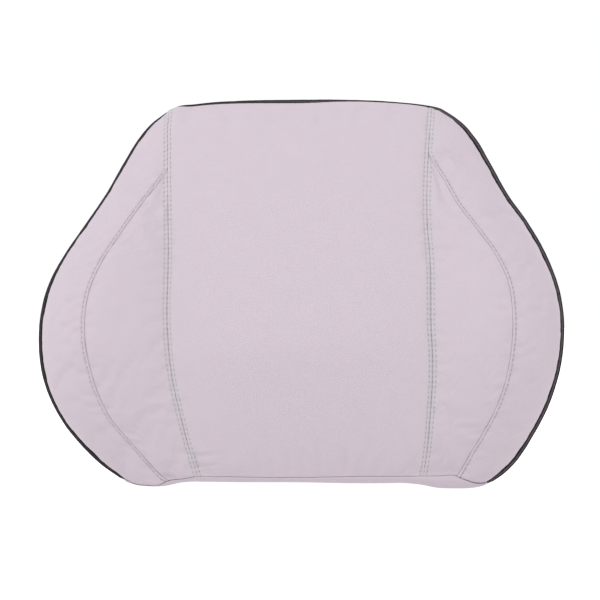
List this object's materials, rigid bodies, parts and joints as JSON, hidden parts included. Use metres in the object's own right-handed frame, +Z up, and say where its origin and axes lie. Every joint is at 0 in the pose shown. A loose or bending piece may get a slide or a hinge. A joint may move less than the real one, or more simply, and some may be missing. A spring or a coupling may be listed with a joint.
{
  "type": "lumbar support cushion",
  "caption": "Contoured foam lumbar cushion with pale seamed fabric front, dark corded edge and mesh back, zipped cover, elastic chair strap with side-release buckle.",
  "frame": {"origin": "middle of the bounding box's underside: the ground under the middle of the cushion as it stands on its base", "axes": "+X across the width, to the right seen from the front; +Y from front to back; +Z up"},
  "size_m": [0.4498, 0.1235, 0.3318],
  "materials": {
    "front_fabric": "fine matte knitted twill, pale lilac grey",
    "gusset_fabric": "dark spacer mesh",
    "piping": "dark corded edge, woven cover",
    "back_mesh": "black spacer mesh",
    "memory_foam": "open-cell foam",
    "liner_knit": "thin white knit",
    "zip_tape": "woven tape",
    "zip_coil": "nylon coil",
    "zip_metal": "dark plated die casting",
    "strap_webbing": "ribbed elastic webbing",
    "buckle_plastic": "moulded acetal, fine texture"
  },
  "bodies": {
    "cushion": {"centre_panel": "front_fabric", "inner_wing_left": "front_fabric", "inner_wing_right": "front_fabric", "bolster_left": "front_fabric", "bolster_right": "front_fabric", "bottom_panel": "front_fabric", "gusset_left": "gusset_fabric", "gusset_top": "gusset_fabric", "gusset_right": "gusset_fabric", "edge_piping": "piping", "back_panel_upper": "back_mesh", "back_panel_lower": "back_mesh", "foam_core": "memory_foam", "liner_front": "liner_knit", "liner_back": "liner_knit", "zip_tape_upper": "zip_tape", "zip_tape_lower": "zip_tape", "zip_coil_upper": "zip_coil", "zip_coil_lower": "zip_coil", "zip_stop_left": "zip_metal", "zip_stop_right": "zip_metal", "strap_left": "strap_webbing", "strap_right": "strap_webbing", "buckle_socket": "buckle_plastic"},
    "zip_slider": {"zip_slider": "zip_metal"},
    "zip_pull": {"zip_pull": "zip_metal"},
    "buckle_plug": {"buckle_plug": "buckle_plastic"},
    "strap_adjuster": {"strap_adjuster": "buckle_plastic"}
  },
  "joints": [
    {"name": "zip_slide", "type": "slide", "parent": "cushion", "child": "zip_slider", "axis": [-1, 0, 0], "range_m": [0, 0.3]},
    {"name": "pull_swing", "type": "hinge", "parent": "zip_slider", "child": "zip_pull", "pos_m": [0.15, 0.05629, 0.052], "axis": [1, 0, 0], "range_deg": [0, 170]},
    {"name": "buckle_release", "type": "slide", "parent": "cushion", "child": "buckle_plug", "axis": [1, 0, 0], "range_m": [0, 0.03], "deforming": ["strap_right"]},
    {"name": "adjuster_slide", "type": "slide", "parent": "cushion", "child": "strap_adjuster", "axis": [1, 0, 0], "range_m": [-0.025, 0.04]}
  ]
}
